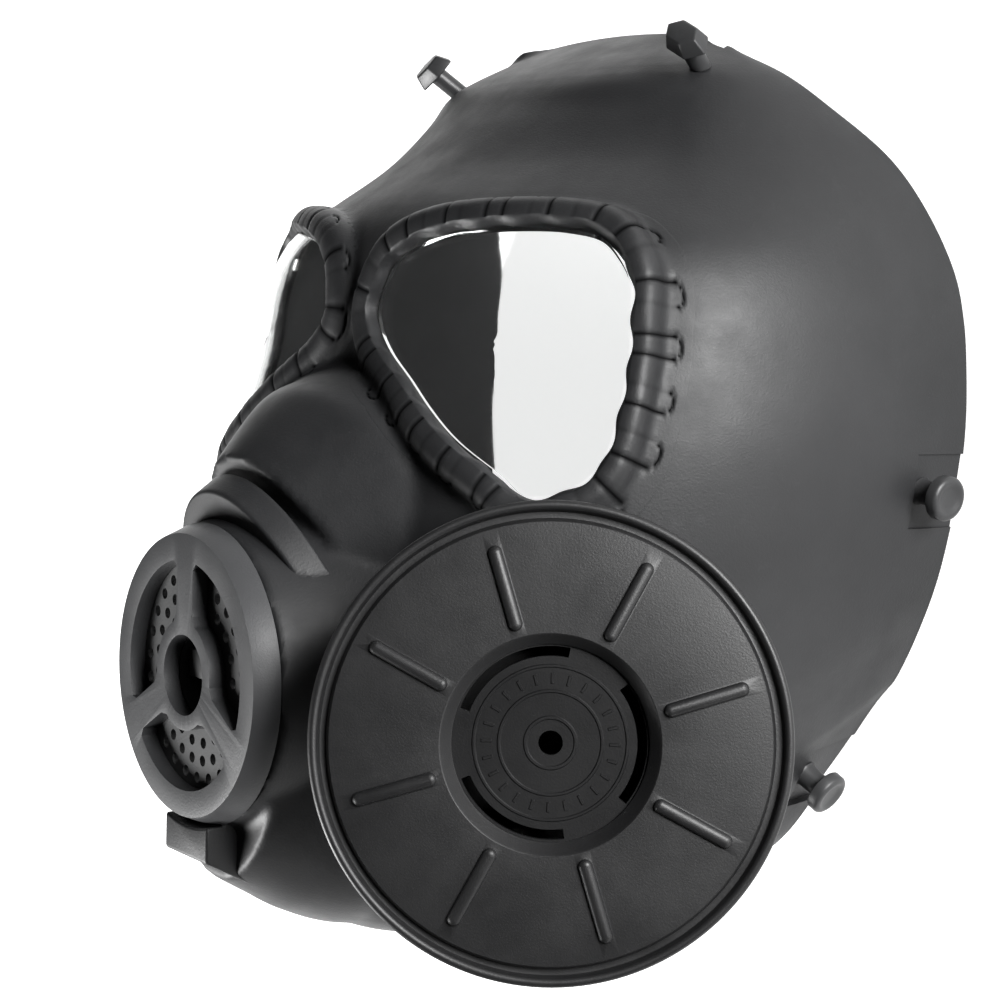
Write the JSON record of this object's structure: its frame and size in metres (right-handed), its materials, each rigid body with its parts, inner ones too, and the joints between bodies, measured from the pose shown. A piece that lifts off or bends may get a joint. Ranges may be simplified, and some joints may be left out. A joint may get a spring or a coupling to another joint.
{
  "type": "gas mask style costume mask",
  "caption": "Full-face costume mask like a gas mask: moulded shell, curved clear lenses, grille cap on the snout, side canister and strap posts.",
  "frame": {"origin": "middle of the bounding box on the surface the rim lies on", "axes": "+X to the wearer's left, +Y from chin to crown, +Z from the rim up to the snout's front"},
  "size_m": [0.2258, 0.221, 0.1545],
  "materials": {
    "shell": "satin black moulded plastic",
    "grille": "satin black plastic",
    "canister": "satin black plastic",
    "post": "matt black plastic",
    "lens": "clear gloss sheet"
  },
  "bodies": {
    "root": {"mask_shell": "shell", "grille_cap": "grille", "grille_plate": "grille", "canister_body": "canister", "canister_hub": "canister", "lens_left": "lens", "lens_right": "lens", "strap_post_top_left": "post", "strap_post_upper_left": "post", "strap_post_lower_left": "post", "strap_post_top_right": "post", "strap_post_upper_right": "post", "strap_post_lower_right": "post"}
  },
  "joints": []
}
